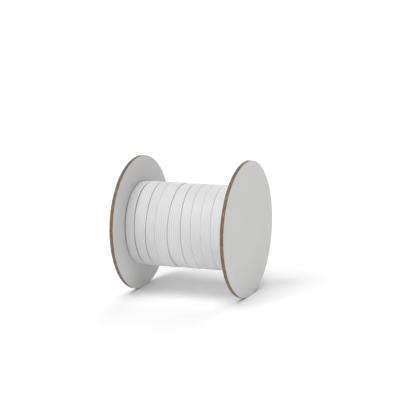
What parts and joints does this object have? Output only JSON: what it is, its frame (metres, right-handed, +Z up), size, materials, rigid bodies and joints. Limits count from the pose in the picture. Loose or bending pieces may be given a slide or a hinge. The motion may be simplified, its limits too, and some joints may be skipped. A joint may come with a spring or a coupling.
{
  "type": "reel of elastic",
  "caption": "Reel of white narrow braided elastic, wound side by side in layers between two round flanges of white-lined board with a raw brown edge, standing on its rims.",
  "frame": {"origin": "middle of the underside, on the surface that both rims stand on", "axes": "+X along the reel's axis towards the right flange, +Y to the back, +Z up"},
  "size_m": [0.0706, 0.08, 0.0797],
  "materials": {
    "lined_board": "smooth white lining on both faces, raw brown edge",
    "white_elastic": "matt braid with fine ribs along it"
  },
  "bodies": {
    "root": {"left_flange": "lined_board", "right_flange": "lined_board", "wound_elastic": "white_elastic"}
  },
  "joints": []
}
